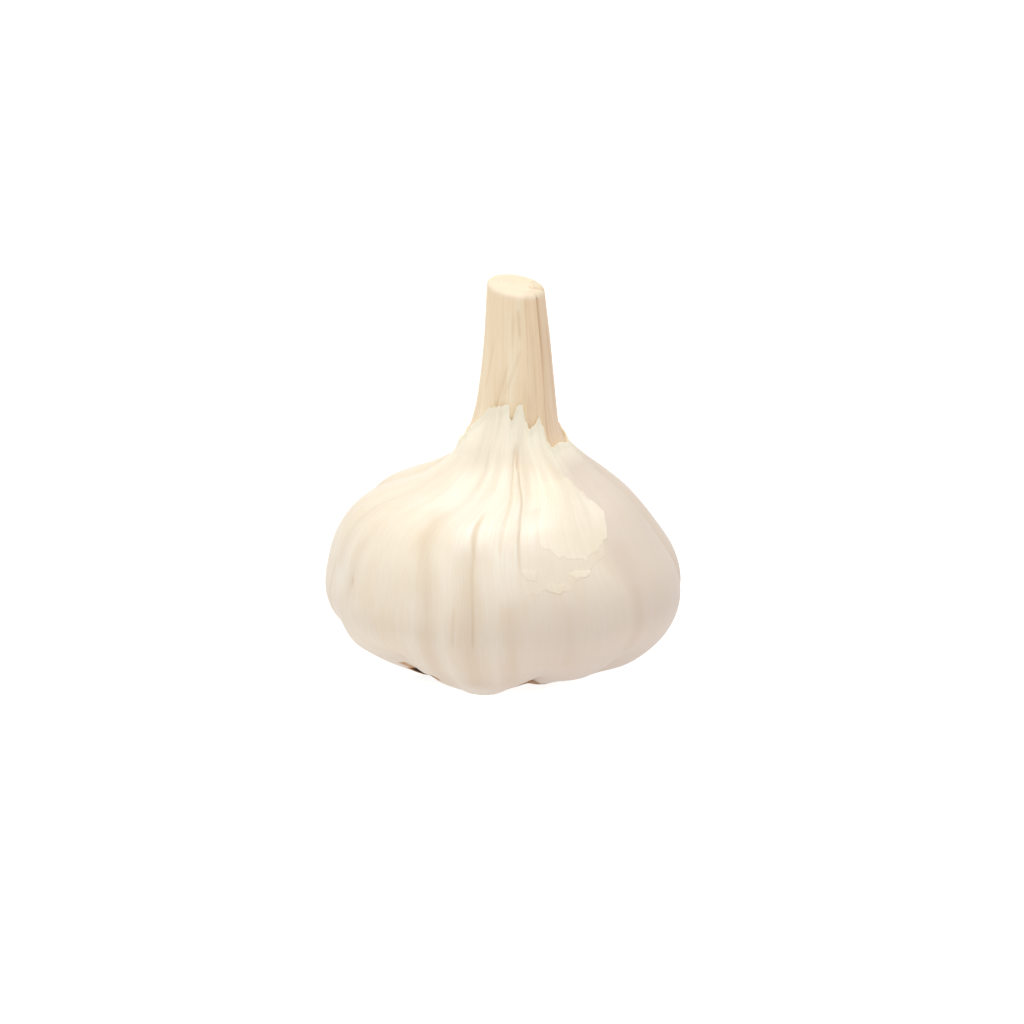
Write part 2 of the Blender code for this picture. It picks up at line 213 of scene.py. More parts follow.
def head_surface(degrees, station):
    """Points of the smooth head: the outline swept round, swelling over each clove."""
    radius, middle, height, groove, fill = outline_at(station)
    step = 0.001
    radius_up, _, height_up, _, _ = outline_at(station + step)
    radius_down, _, height_down, _, _ = outline_at(station - step)
    run = radius_up - radius_down
    rise = height_up - height_down
    size = np.hypot(run, rise)

    grown = np.clip(groove / FULL_GROOVE, 0, 1)
    foot = np.clip(1 - height / FOOT_TOP, 0, 1)
    low = smooth_step((TURN_TOP - height) / TURN_LENGTH)
    width = fill / 2 + LEAST_BLEND
    halves = (np.roll(CLOVES[:, :2], -1, 0) - np.roll(CLOVES[:, :2], 1, 0)) % 360 / 4
    total = 0
    for (clove, clove_low, reach, lift), (half, half_low) in zip(CLOVES, halves):
        off = (degrees - clove - (clove_low - clove) * low + 180) % 360 - 180
        across = off / (half + (half_low - half) * low)
        swell = (reach - lift * foot) * grown - groove * across**2
        total = total + np.exp(np.maximum(swell / width, LEAST_POWER))
    # What evenly spaced cloves would add up to at the middle of one of them: the level of the outline.
    even = 2.0 * (np.arange(len(CLOVES)) - len(CLOVES) // 2)
    level = np.log(np.exp(-(groove / width)[..., None] * even**2).sum(-1))
    out = width * (np.log(total) - level)

    radius = radius + out * rise / size
    height = height - out * run / size
    angle = np.radians(degrees)
    return np.stack([middle + radius * np.sin(angle), -radius * np.cos(angle), height], -1)


ALL_STATIONS = np.linspace(0, len(OUTLINE) - 1, 2001)
ALL_RADII, _, ALL_HEIGHTS, _, _ = outline_at(ALL_STATIONS)
ALL_LENGTHS = np.concatenate([[0], np.cumsum(np.hypot(np.diff(ALL_RADII), np.diff(ALL_HEIGHTS)))])


def length_at(station):
    """Millimetres along the outline from the middle of the base."""
    return np.interp(station, ALL_STATIONS, ALL_LENGTHS)


def station_at_height(height):
    """The outline's station at a height in the neck."""
    above = ALL_STATIONS > COLLAR_STATION
    return np.interp(height, ALL_HEIGHTS[above], ALL_STATIONS[above])


WAVES = 14


def waves(degrees, length, seed, counts, slope, height):
    """Gentle folds that run up the bulb.

    counts is how many may go round it, slope how far they may lean, and height how high they are in mm.
    """
    chance = np.random.default_rng(seed)
    total = 0
    for _ in range(WAVES):
        count = chance.integers(*counts)
        lean = chance.uniform(-slope, slope)
        total = total + np.sin(count * np.radians(degrees) + lean * length + chance.uniform(0, 2 * np.pi))
    return total * height / np.sqrt(WAVES / 2)


# A pleat of the wrapper bridges the groove right of the middle. Its sides are points of (angle, station).
PLEAT_LEFT = ((1.1, 10), (1.4, 11.1), (-0.5, 11.8), (-3, 12.5), (-2.5, 13.4), (3.4, 14.4))
PLEAT_RIGHT = ((7.6, 9.6), (8.5, 11.1), (5.6, 11.8), (2.2, 12.6), (1.5, 13.3), (6, 14.4))
PLEAT_HEIGHT = 0.16  # mm
PLEAT_EDGE = 0.25  # mm over which each side rises
# Creases in the wrapper, sharp ones and broad soft ones: points of (angle, station) going up, depth and half
# width in mm, and how brown the skin is painted there: partly its own brown crease lines, partly painted shade.
CREASES = (
    (PLEAT_LEFT, 0.13, 0.22, 0.45),
    (PLEAT_RIGHT, 0.16, 0.22, 0.55),
    (((-1, 12.9), (3, 14.4)), 0.20, 0.45, 0.60),
    (((-9.8, 7.4), (-9.2, 9.2), (-8.4, 10.3), (-11.4, 11.7)), 0.16, 0.42, 0.95),
    (((-11.5, 5.8), (-9.5, 10.8)), 0.04, 2.60, 0.60),
    (((-16.2, 7.5), (-14.9, 9.3)), 0.08, 0.40, 0.55),
    (((-57, 8.6), (-57.8, 9.6)), 0.25, 0.22, 0.90),
    (((-59, 8.2), (-58, 10.6)), 0.04, 1.60, 0.40),
    (((-25, 5.6), (-24.5, 9.7), (-35, 11.8)), 0.06, 2.00, 0.50),
    (((1, 5.8), (2.5, 9.4)), 0.04, 1.70, 0.35),
    (((22, 6.6), (20, 9.2)), 0.03, 1.50, 0.20),
    (((47.5, 6.4), (49.5, 9.6)), 0.05, 1.20, 0.25),
    (((50, 9), (51, 10.6)), 0.03, 2.20, 0.20),
    (((-69, 9), (-74, 10.6)), 0.03, 3.00, 0.35),
    (((-80, 8), (-70, 11.8)), 0.06, 0.80, 0.25),
)
# The grooves between the cloves on the sides that the photo doesn't show, where the wrapper has sunk in.
FAR_GROOVES = (
    ((92, 5), (88, 12.8)),
    ((132, 5.4), (128, 13.4)),
    ((171, 5), (168, 12.6)),
    ((206, 5.4), (209, 13.6)),
    ((241, 5), (247, 12.8)),
)
# In the grooves the brownness is painted shade.
FAR_DIP = (0.50, 1.90, 0.25)  # depth, half width and brownness, as for the creases
FAR_LINE = (0.10, 0.30, 0.40)
CREASES += tuple((path, *FAR_DIP) for path in FAR_GROOVES)
CREASES += tuple((path, *FAR_LINE) for path in FAR_GROOVES)
CREASE_END = 0.6  # stations over which a crease fades out
# Gentle folds in the wrapper: seed, how many go round, how far they lean, height in mm.
BROAD_FOLDS = (3, (3, 10), 0.22, 0.09)
SMALL_FOLDS = (8, (14, 44), 0.14, 0.022)
GATHERS = (21, (14, 40), 0.03, 0.06)  # where the wrapper draws in towards the neck
GATHERS_FROM = 10.5  # station
GATHERS_LENGTH = 3  # stations over which they grow


def line_at(line, degrees, station):
    """Millimetres from a line on the head, and how fully the line is there."""
    angles, stations = np.transpose(line)
    off = (degrees - np.interp(station, stations, angles) + 180) % 360 - 180
    radius = np.interp(station, ALL_STATIONS, ALL_RADII)
    begun = smooth_step((station - stations[0]) / CREASE_END)
    left = smooth_step((stations[-1] - station) / CREASE_END)
    return np.radians(off) * radius, begun * left


def relief(degrees, station):
    """How far the wrapper stands out from the smooth head, and how brown its creases are painted: partly their
    own brown, partly painted shade.
    """
    length = length_at(station)
    gathered = smooth_step((station - GATHERS_FROM) / GATHERS_LENGTH)
    out = waves(degrees, length, *BROAD_FOLDS)
    out += waves(degrees, length, *SMALL_FOLDS)
    out += waves(degrees, length, *GATHERS) * gathered
    fold_tint_and_shade = 0 * out
    for line, depth, width, shade in CREASES:
        off, here = line_at(line, degrees, station)
        crease = here * np.exp(-((off / width) ** 2))
        out -= depth * crease
        fold_tint_and_shade = np.maximum(fold_tint_and_shade, crease * shade)
    off_left, here = line_at(PLEAT_LEFT, degrees, station)
    off_right, _ = line_at(PLEAT_RIGHT, degrees, station)
    inside = (1 + np.tanh(off_left / PLEAT_EDGE)) * (1 - np.tanh(off_right / PLEAT_EDGE)) / 4
    out += PLEAT_HEIGHT * here * inside
    return out, fold_tint_and_shade


# Where the skin is dented in and painted with shadow, in the gaps by the feet of the left clove and the middle
# one: paths of (angle, station), how far in mm the painted shadow reaches from each, and how dark it is.
GAPS = (
    (((-65.5, 5.5), (-68, 4.9)), 1.2, 0.45),
    (((-69.5, 4.65), (-71, 4.3), (-69.5, 3.9), (-65, 3.4), (-64, 2.8), (-66, 2.2)), 3.1, 1),
    (((-38, 5.8), (-34, 6.1), (-31, 6.2)), 1.4, 0.62),
)
GAP_DEPTH = 0.35  # mm


def nearness(points, path, reach):
    """How near points lie to a path on the head, from 1 on it to 0 where it is out of reach."""
    corners = head_surface(*np.transpose(path))
    least = np.inf
    for start, end in zip(corners[:-1], corners[1:]):
        way = end - start
        share = np.clip((points - start) @ way / (way @ way), 0, 1)
        least = np.minimum(least, np.linalg.norm(points - start - share[..., None] * way, axis=-1))
    return smooth_step(1 - least / reach)


def gap_shadow_at(points):
    """How much painted shadow lies at points on the head, from 0 to 1."""
    return np.max([shadow_darkness * nearness(points, path, reach) for path, reach, shadow_darkness in GAPS], axis=0)


ANGLE_STEP = 0.05  # degrees, and
STATION_STEP = 0.004  # stations, to a neighbour that shows which way the head faces


def wrapper_points(degrees, station, away):
    """Points at a distance from the wrapper's own face, and how brown its creases are painted there, partly as
    painted shade.
    """
    degrees, station = np.broadcast_arrays(degrees, station)
    points = head_surface(degrees, station)
    along = head_surface(degrees + ANGLE_STEP, station) - points
    up = head_surface(degrees, station + STATION_STEP) - points
    normal = np.cross(along, up)
    normal /= np.linalg.norm(normal, axis=-1, keepdims=True)
    out, fold_tint_and_shade = relief(degrees, station)
    return points + normal * (out + away - GAP_DEPTH * gap_shadow_at(points))[..., None], fold_tint_and_shade


HEM = np.array(  # the ragged hem round the neck: angle in degrees, height in mm
    (
        (-90, 39.1), (-74, 41.7), (-52, 44.1), (-43, 45.7), (-30, 46.1), (-18, 46.5),
        (-10, 46.8), (-8, 44.5), (-5, 44), (0, 46.3), (4, 46.8), (9, 46.5), (13, 44.2),
        (18.5, 42.7), (25, 43.2), (33.5, 44.5), (38, 42.4), (39, 40.6), (46, 39.5), (58, 39.9),
        (72, 39.4), (85, 39.3), (97, 39.9), (104, 40.4), (122, 42.6), (131, 41.5), (150, 44.6),
        (161, 43), (166, 41), (178, 40.8), (191, 42.4), (206, 43.9), (213, 41.8),
        (222, 42.2), (236, 40.4), (250, 41.2), (258, 39.8),
    )
)
HEM_FRAY = 0.10  # mm


def hem_height(degrees):
    fray = waves(degrees, 0, 5, (30, 110), 0, HEM_FRAY)
    return np.interp(degrees, HEM[:, 0], HEM[:, 1], period=360) + fray


def grid_faces(rows, columns, round_way=True):
    """Faces of a grid of points, given row after row. The last column joins the first if it goes round."""
    row = np.arange(rows - 1)[:, None] * columns
    column = np.arange(columns if round_way else columns - 1)[None, :]
    after = (column + 1) % columns
    corners = (row + column, row + after, row + columns + after, row + columns + column)
    return np.stack(corners, -1).reshape(-1, 4)


def capped_faces(rows, columns):
    """Faces of rings of points that are closed at both ends by a middle point, which follow the rings."""
    count = rows * columns
    last = count - columns
    faces = grid_faces(rows, columns).tolist()
    faces += [(count, (k + 1) % columns, k) for k in range(columns)]
    faces += [(last + k, last + (k + 1) % columns, count + 1) for k in range(columns)]
    return faces


SHARP_ANGLE = np.radians(55)  # between two faces, above which the edge between them stays sharp


def add_piece(name, points, faces, surface, values=None):
    """A smooth mesh from points in millimetres, with the values of each point that its material uses."""
    mesh = bpy.data.meshes.new(name)
    mesh.from_pydata((np.asarray(points) * MM).tolist(), [], [list(face) for face in faces])
    mesh.shade_smooth()
    mesh.set_sharp_from_angle(angle=SHARP_ANGLE)
    for key, value in (values or {}).items():
        value = np.asarray(value, dtype=np.float32)
        if value.ndim == 2:
            mesh.attributes.new(key, "FLOAT_VECTOR", "POINT").data.foreach_set("vector", value.ravel())
        else:
            mesh.attributes.new(key, "FLOAT", "POINT").data.foreach_set("value", value)
    mesh.materials.append(surface)
    piece = bpy.data.objects.new(name, mesh)
    scene.collection.objects.link(piece)
    return piece


def srgb(red, green, blue):
    """A colour given as it looks on a screen, from 0 to 255."""
    screen = np.array((red, green, blue)) / 255
    linear = np.where(screen < 0.04045, screen / 12.92, ((screen + 0.055) / 1.055) ** 2.4)
    return (*linear.tolist(), 1.0)


def grain_of(degrees, length):
    """Where a point lies along the fibres of a skin: twice round the circle, and up its length in mm."""
    angle = np.radians(degrees)
    return np.stack([np.sin(angle), -np.cos(angle), length + 0 * angle], -1).reshape(-1, 3)


def new_group(name, inputs, outputs):
    """A shader node group, and its nodes that hold the inputs and outputs."""
    group = bpy.data.node_groups.new(name, "ShaderNodeTree")
    for socket, kind, value in inputs:
        made = group.interface.new_socket(socket, in_out="INPUT", socket_type=kind)
        if value is not None:
            made.default_value = value
    for socket, kind in outputs:
        group.interface.new_socket(socket, in_out="OUTPUT", socket_type=kind)
    return group, group.nodes.new("NodeGroupInput"), group.nodes.new("NodeGroupOutput")


def maths(tree, operation, first, second=0.0, third=0.0, clamp=False):
    terms = {0: first, 1: second, 2: third}
    return add_node(tree, "ShaderNodeMath", terms, operation=operation, use_clamp=clamp).outputs[0]


def blend_colours(tree, share, first, second):
    made = add_node(tree, "ShaderNodeMix", {0: share, 6: first, 7: second}, data_type="RGBA")
    return made.outputs[2]


# Fine veins along the fibres: how many go round, how long each runs, and how thin they are.
veins, taken, given = new_group(
    "plant_veins",
    (
        ("Grain", "NodeSocketVector", None),
        ("Round", "NodeSocketFloat", 20.0),
        ("Along", "NodeSocketFloat", 0.05),
        ("Thin", "NodeSocketFloat", 0.06),
    ),
    (("Lines", "NodeSocketFloat"), ("Streaks", "NodeSocketFloat")),
)
scale = add_node(
    veins,
    "ShaderNodeCombineXYZ",
    {0: taken.outputs["Round"], 1: taken.outputs["Round"], 2: taken.outputs["Along"]},
)
place = add_node(
    veins, "ShaderNodeVectorMath", {0: taken.outputs["Grain"], 1: scale.outputs[0]}, operation="MULTIPLY"
)
grown = add_node(veins, "ShaderNodeTexNoise", {"Vector": place.outputs[0], "Scale": 1.0, "Detail": 3.0})
from_line = maths(veins, "ABSOLUTE", maths(veins, "SUBTRACT", grown.outputs["Fac"], 0.5))
line = add_node(
    veins,
    "ShaderNodeMapRange",
    {"Value": from_line, "From Min": 0.0, "From Max": taken.outputs["Thin"], "To Min": 1.0, "To Max": 0.0},
    interpolation_type="SMOOTHSTEP",
)
veins.links.new(line.outputs[0], given.inputs["Lines"])
veins.links.new(grown.outputs["Fac"], given.inputs["Streaks"])

# Broad uneven patches, in the bulb's own space.
patches, taken, given = new_group(
    "skin_patches", (("Scale", "NodeSocketFloat", 120.0),), (("Patches", "NodeSocketFloat"),)
)
where = add_node(patches, "ShaderNodeTexCoord")
cloud = add_node(
    patches,
    "ShaderNodeTexNoise",
    {"Vector": where.outputs["Object"], "Scale": taken.outputs["Scale"], "Detail": 4.0, "Roughness": 0.55},
)
spread = add_node(
    patches, "ShaderNodeMapRange", {"Value": cloud.outputs["Fac"], "From Min": 0.3, "From Max": 0.7}
)
patches.links.new(spread.outputs[0], given.inputs["Patches"])


def use_group(tree, group, **inputs):
    return add_node(tree, "ShaderNodeGroup", inputs, node_tree=group)


def add_bump(tree, surface, height, strength, metres):
    bump = add_node(tree, "ShaderNodeBump", {"Height": height, "Strength": strength, "Distance": metres})
    tree.links.new(bump.outputs[0], surface.inputs["Normal"])


def value_of(tree, name, output="Fac"):
    return add_node(tree, "ShaderNodeAttribute", attribute_name=name).outputs[output]


FOOT_TONE_AND_SHADE = 0.15
FOOT_TONE_AND_SHADE_TOP = 21.0  # mm of height below which the skins are duller and pinker: partly their own tone, partly painted shade
FOOT_TONE_AND_SHADE_LENGTH = 16.0  # mm
HEM_PAINTED_LIGHT_LENGTH = 9.0  # mm below the hem over which the skin is painted lighter: painted light on the steep faces by the neck
# Where the outermost skin has come off: on the right between two angles, and below the torn skin in front.
# There the skin is duller: partly the under skin's own tone, partly painted shade on the flank turned from the
# lamp.
BARE_FROM, BARE_TO = 32.0, 160.0
BARE_FADE = 16.0  # degrees
BARE_TOP = 14.2  # station
LOW_BARE_FROM = -22.0
LOW_BARE_FADE = 44.0
LOW_BARE_TOP = 10.6  # station
BARE_TOP_FADE = 2  # stations
FLANK_FROM = 44.0  # degrees, from where the bare side is darker still: painted shade on the flank turned from the lamp
FLANK_FADE = 8.0
FLANK_PAINTED_SHADE = 0.8
DULLEST = 0.85  # leaves some of the skin's own patches
STAIN_TOP = 4.6  # station below which soil stains the skin round the root plate
STAIN_LENGTH = 1.6  # stations
STAIN_SHARE = 0.45
STAIN_LEVEL, STAIN_SWING = 0.65, 0.5
STAIN_STREAKS = (15, (3, 30), 0.8, 0.5)  # seed, how many go round, how far they lean, height


def hem_length(degrees):
    """Millimetres along the outline to the hem."""
    return length_at(station_at_height(hem_height(degrees)))


def skin_values(degrees, station, points, fold_tint_and_shade, bare, worn=0.0):
    """What a papery skin's material needs to know of each point.

    The skin is duller by bare where the outermost skin has come off, partly as painted shade, and by worn all
    over.
    """
    degrees, station = np.broadcast_arrays(degrees, station)
    length = length_at(station)
    # Darker and pinker towards the bottom: partly the skin's own tone, partly painted shade.
    low = FOOT_TONE_AND_SHADE * smooth_step((FOOT_TONE_AND_SHADE_TOP - points[..., 2]) / FOOT_TONE_AND_SHADE_LENGTH)
    side = smooth_step((degrees - BARE_FROM) / BARE_FADE)
    side *= smooth_step((BARE_TOP - station) / BARE_TOP_FADE)
    below = smooth_step((degrees - LOW_BARE_FROM) / LOW_BARE_FADE)
    below *= smooth_step((LOW_BARE_TOP - station) / BARE_TOP_FADE)
    side = np.maximum(side, below) * smooth_step((BARE_TO - degrees) / BARE_FADE)
    flank = 1 + FLANK_PAINTED_SHADE * smooth_step((degrees - FLANK_FROM) / FLANK_FADE)
    dull = worn + low + bare * side * flank
    bright = smooth_step(1 - (hem_length(degrees) - length) / HEM_PAINTED_LIGHT_LENGTH)
    uneven = STAIN_LEVEL + STAIN_SWING * waves(degrees, length, *STAIN_STREAKS)
    stain = STAIN_SHARE * uneven * smooth_step((STAIN_TOP - station) / STAIN_LENGTH)
    # The soil stain round the root plate is real dirt; the gaps add painted shadow.
    soil = np.maximum(gap_shadow_at(points), stain)
    return {
        "grain": grain_of(degrees, length),
        "dull": np.clip(dull, 0, DULLEST).ravel(),
        "bright": bright.ravel(),
        "folds": fold_tint_and_shade.ravel(),
        "soil": np.clip(soil, 0, 1).ravel(),
    }


HEM_LIGHT_COLOUR = srgb(255, 250, 231)
FOLD_TINT_AND_SHADE_COLOUR = srgb(206, 178, 140)
DULL_AND_SHADE_COLOUR = srgb(224, 210, 198)
SOIL_AND_SHADOW_BROWN = srgb(190, 138, 84)
SHADOW_AND_SOIL_BLACK = srgb(30, 16, 9)
VEIN_SHARE = 0.13
FOLD_TINT_AND_SHADE_SHARE = 0.6
CRUMB_SCALE = 1100.0
CRUMB_SWING, CRUMB_LEAST = 0.7, 0.6  # how unevenly the soil and the painted shadow lie, in crumbs
BROWN_GAIN = 2.2
BLACK_GAIN, BLACK_FROM = 4.0, -1.7
ROUGH_SWING = 0.2
LINE_RIDGE = 0.5  # how high a fine vein stands beside the broad streaks


def papery_skin(name, pale, warm, vein_colour, roughness):
    """A dry onion-like skin: pale and warm patches, fine veins, creases and duller places partly painted shade,
    painted light at the hem, and soil and painted shadow.
    """
    made, tree, surface = new_material(name)
    grain = value_of(tree, "grain", "Vector")
    broad = use_group(tree, veins, Grain=grain, Round=9.0, Along=0.035, Thin=0.05)
    fine = use_group(tree, veins, Grain=grain, Round=34.0, Along=0.05, Thin=0.07)
    cloud = use_group(tree, patches, Scale=90.0)
    colour = blend_colours(tree, cloud.outputs["Patches"], pale, warm)
    # Painted light: lighter towards the hem.
    colour = blend_colours(tree, value_of(tree, "bright"), colour, HEM_LIGHT_COLOUR)
    colour = blend_colours(tree, value_of(tree, "dull"), colour, DULL_AND_SHADE_COLOUR)
    line = maths(tree, "MAXIMUM", broad.outputs["Lines"], fine.outputs["Lines"])
    colour = blend_colours(tree, maths(tree, "MULTIPLY", line, VEIN_SHARE), colour, vein_colour)
    # Creases take a brown tint: partly the skin's own brown lines, partly painted shade in the crease.
    painted_fold_tint_and_shade = maths(tree, "MULTIPLY", value_of(tree, "folds"), FOLD_TINT_AND_SHADE_SHARE)
    colour = blend_colours(tree, painted_fold_tint_and_shade, colour, FOLD_TINT_AND_SHADE_COLOUR)
    # Soil, and painted shadow in the gaps under the cloves' feet: brown, and black where they are deepest.
    crumbs = use_group(tree, patches, Scale=CRUMB_SCALE)
    share = maths(tree, "MULTIPLY_ADD", crumbs.outputs["Patches"], CRUMB_SWING, CRUMB_LEAST)
    soil = maths(tree, "MULTIPLY", value_of(tree, "soil"), share)
    brown = maths(tree, "MULTIPLY", soil, BROWN_GAIN, clamp=True)
    black = maths(tree, "MULTIPLY_ADD", soil, BLACK_GAIN, BLACK_FROM, clamp=True)
    colour = blend_colours(tree, brown, colour, SOIL_AND_SHADOW_BROWN)
    colour = blend_colours(tree, black, colour, SHADOW_AND_SOIL_BLACK)
    tree.links.new(colour, surface.inputs["Base Color"])
    dull = maths(tree, "MULTIPLY_ADD", fine.outputs["Streaks"], ROUGH_SWING, roughness - ROUGH_SWING / 2)
    tree.links.new(maths(tree, "MAXIMUM", dull, brown), surface.inputs["Roughness"])
    lines = maths(tree, "MULTIPLY", fine.outputs["Lines"], LINE_RIDGE)
    ridge = maths(tree, "ADD", lines, broad.outputs["Streaks"])
    add_bump(tree, surface, ridge, strength=0.12, metres=0.0003)
    return made


wrapper_paper = papery_skin(
    "wrapper_paper",
    pale=srgb(247, 241, 228),
    warm=srgb(242, 229, 208),
    vein_colour=srgb(228, 206, 176),
    roughness=0.43,
)

FRONT_FROM, FRONT_TO = -50.0, 55.0  # degrees, the part with the finest creases
FRONT_STEP, BACK_STEP = 0.5, 0.9  # degrees between two columns of points
head_degrees = np.concatenate([
    np.arange(FRONT_FROM, FRONT_TO, FRONT_STEP), np.arange(FRONT_TO, 360 + FRONT_FROM, BACK_STEP)
])
FIRST_ROW = 0.3  # mm from the middle of the base
HEAD_ROWS = 158
COLLAR_ROWS = 28
HEM_CURL = 0.22  # mm that the hem stands off
HEM_CURL_LENGTH = 0.35  # stations
SKIN_RIM = 0.16  # mm, the wrapper's thickness where its edge shows
RIM_DROP = 0.05  # mm
SOCKET_FLOOR = 38.4  # mm of height, to which the wrapper's inside goes down round the neck
SOCKET_GAP, SOCKET_SLANT = 0.3, 0.2  # mm inside the wrapper's face at its top, and more at its foot
SOCKET_SHARES = (0.2, 0.5, 1.0)  # of the way down at which its rows lie
collar_length = length_at(COLLAR_STATION)
stations = np.interp(np.linspace(FIRST_ROW, collar_length, HEAD_ROWS), ALL_LENGTHS, ALL_STATIONS)
hem_station = station_at_height(hem_height(head_degrees))
share = np.linspace(0, 1, COLLAR_ROWS + 1)[1:, None]
collar = COLLAR_STATION + (hem_station - COLLAR_STATION) * share
all_stations = np.concatenate([np.broadcast_to(stations[:, None], (HEAD_ROWS, len(head_degrees))), collar])
curl = HEM_CURL * smooth_step((all_stations - hem_station + HEM_CURL_LENGTH) / HEM_CURL_LENGTH)
head, fold_tint_and_shade = wrapper_points(head_degrees, all_stations, curl)
head[..., 2] = np.maximum(head[..., 2], 0)

inward = np.stack([-np.sin(np.radians(head_degrees)), np.cos(np.radians(head_degrees)), 0 * head_degrees], -1)
rim = head[-1] + inward * SKIN_RIM - np.array((0, 0, RIM_DROP))
inner_rows = [rim]
for share in SOCKET_SHARES:
    depth = hem_station + (station_at_height(SOCKET_FLOOR) - hem_station) * share
    inner_rows.append(wrapper_points(head_degrees, depth, -SOCKET_GAP - SOCKET_SLANT * share)[0])
rings = np.concatenate([head, inner_rows])
points = np.concatenate([rings.reshape(-1, 3), [head[0].mean(0), rings[-1].mean(0)]])
inner_stations = np.broadcast_to(hem_station, (len(inner_rows), len(head_degrees)))
values = skin_values(
    np.concatenate([np.tile(head_degrees, len(rings)), [0, 0]]),
    np.concatenate([all_stations.ravel(), inner_stations.ravel(), [0, COLLAR_STATION]]),
    points,
    np.concatenate([fold_tint_and_shade.ravel(), np.zeros(inner_stations.size + 2)]),
    bare=0.7,
)
faces = capped_faces(len(rings), len(head_degrees))
head_piece = add_piece("head_wrapper", points, faces, wrapper_paper, values)
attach(head_piece, "root")
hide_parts("bulb")

# The torn outer skins.
# Rests of the bulb's outermost skin, paler and shinier than the wrapper, torn off raggedly when the bulb was
# cleaned. In front one lies over another on the clove right of the middle, with small flakes left below.
outer_paper = papery_skin(
    "outer_paper",
    pale=srgb(250, 243, 228),
    warm=srgb(244, 232, 210),
    vein_colour=srgb(230, 210, 180),
    roughness=0.40,
)
TORN_STEP = 0.45  # degrees
TORN_ROWS = 44
TORN_ROW_POWER = 1.3  # sets the rows closer together towards the torn edge
TORN_FRAY = 0.02  # stations
TORN_LEAST = 0.02  # stations from the lower edge to the upper one
TORN_FRAYS = (20, 150)  # how many go round
CURL_LENGTH = 0.7  # mm from its edges over which a rest curls up
SINK_DEPTH = 0.06  # mm under the wrapper's face where a rest has grown into it
SINK_FROM, SINK_LENGTH = 0.55, 0.4  # shares of the way up over which it sinks


def sheet_faces(rows, columns):
    """Faces of a closed sheet: an outer grid of points, the same grid inside it, and the edge between."""
    outer = grid_faces(rows, columns, round_way=False)
    index = np.arange(rows * columns).reshape(rows, columns)
    edge = np.concatenate([index[0, :-1], index[:-1, -1], index[-1, :0:-1], index[:0:-1, 0]])
    after = np.roll(edge, -1)
    back = rows * columns
    rim = np.stack([edge + back, after + back, after, edge], -1)
    return np.concatenate([outer, outer[:, ::-1] + back, rim])


def torn_skin(
    lower_edge, upper_edge, seed, away, thickness, curl=0.0, bare=0.0, worn=0.0, rows=TORN_ROWS, sink_side=0.0
):
    """Points, faces and point values of a thin sheet over the wrapper, between two ragged edges.

    It lies away mm off the wrapper and curls up at its edges. It grows into the wrapper towards its top, and
    over sink_side degrees at its left.
    """
    low_degrees, low_stations = np.transpose(lower_edge)
    degrees = np.arange(low_degrees[0], low_degrees[-1] + TORN_STEP / 2, TORN_STEP)
    fray = waves(degrees, 0, seed, TORN_FRAYS, 0, TORN_FRAY)
    lower = np.interp(degrees, low_degrees, low_stations) + fray
    upper = np.maximum(np.interp(degrees, *np.transpose(upper_edge)), lower + TORN_LEAST)
    share = np.linspace(0, 1, rows)[:, None]
    station = lower + (upper - lower) * share**TORN_ROW_POWER
    from_edge = length_at(station) - length_at(lower)
    last = np.interp(station, ALL_STATIONS, ALL_RADII) * np.radians(degrees[-1] - degrees)
    raised = curl * np.exp(-np.minimum(from_edge, last) / CURL_LENGTH)
    sunk = smooth_step((share - SINK_FROM) / SINK_LENGTH)
    if sink_side:
        sunk = np.maximum(sunk, smooth_step(1 - (degrees - degrees[0]) / sink_side))
    away = away + raised - (away + thickness + SINK_DEPTH) * sunk
    outer, fold_tint_and_shade = wrapper_points(degrees, station, away + thickness)
    inner = wrapper_points(degrees, station, away)[0]
    points = np.concatenate([outer.reshape(-1, 3), inner.reshape(-1, 3)])
    values = skin_values(degrees, station, outer, fold_tint_and_shade, bare, worn)
    both = {key: np.concatenate([value, value]) for key, value in values.items()}
    return points, sheet_faces(rows, len(degrees)), both


def add_sheets(name, sheets, surface):
    """One piece of several sheets."""
    all_points, all_faces, all_values = zip(*sheets)
    firsts = np.cumsum([0] + [len(points) for points in all_points])
    faces = [its_faces + first for its_faces, first in zip(all_faces, firsts)]
    joined = {key: np.concatenate([values[key] for values in all_values]) for key in all_values[0]}
    return add_piece(name, np.concatenate(all_points), np.concatenate(faces), surface, joined)


# The torn edges, lower ones and upper ones, as points of (angle, station).
FRONT_UNDER_EDGE = (
    (-9, 9.75), (-7.5, 9.45), (-2, 9.38), (4, 9.5), (9, 9.36), (16, 9.44), (23, 9.36),
    (25, 9.55), (31, 9.68), (36, 9.95), (42, 10.08), (45, 10.45), (48, 10.8),
)
FRONT_OVER_EDGE = (
    (16.5, 10.5), (18, 10.5), (20, 10.42), (22.3, 10.2), (28, 10.14), (33, 10.08), (36, 10.22),
    (40, 10.24), (44, 10.46), (47.3, 10.52), (50, 10.8), (53.4, 11.28),
)
FRONT_UNDER_TOP = ((-9, 13), (48, 13))
FRONT_OVER_TOP = ((16.5, 13.7), (44, 13.9), (46.6, 12.75), (49, 12.35), (51.1, 12), (53.4, 11.3))
FLAKES = (  # how dull each is, its lower edge and its upper edge
    (0.25, ((8.3, 9.88), (9.5, 9.72), (12.5, 9.68), (13.7, 9.9)), ((8.3, 10), (9.8, 10.14), (13.7, 10.04))),
    (0.25, ((15.5, 9.46), (17, 9.34), (20.8, 9.38), (22, 9.5)), ((15.5, 9.6), (16.8, 9.78), (22, 9.62))),
    (0, ((24.5, 9.76), (26.5, 9.64), (31, 9.66), (33, 9.8)), ((24.5, 9.84), (27, 9.97), (33, 9.86))),
)
FLAKE_ROWS = 10
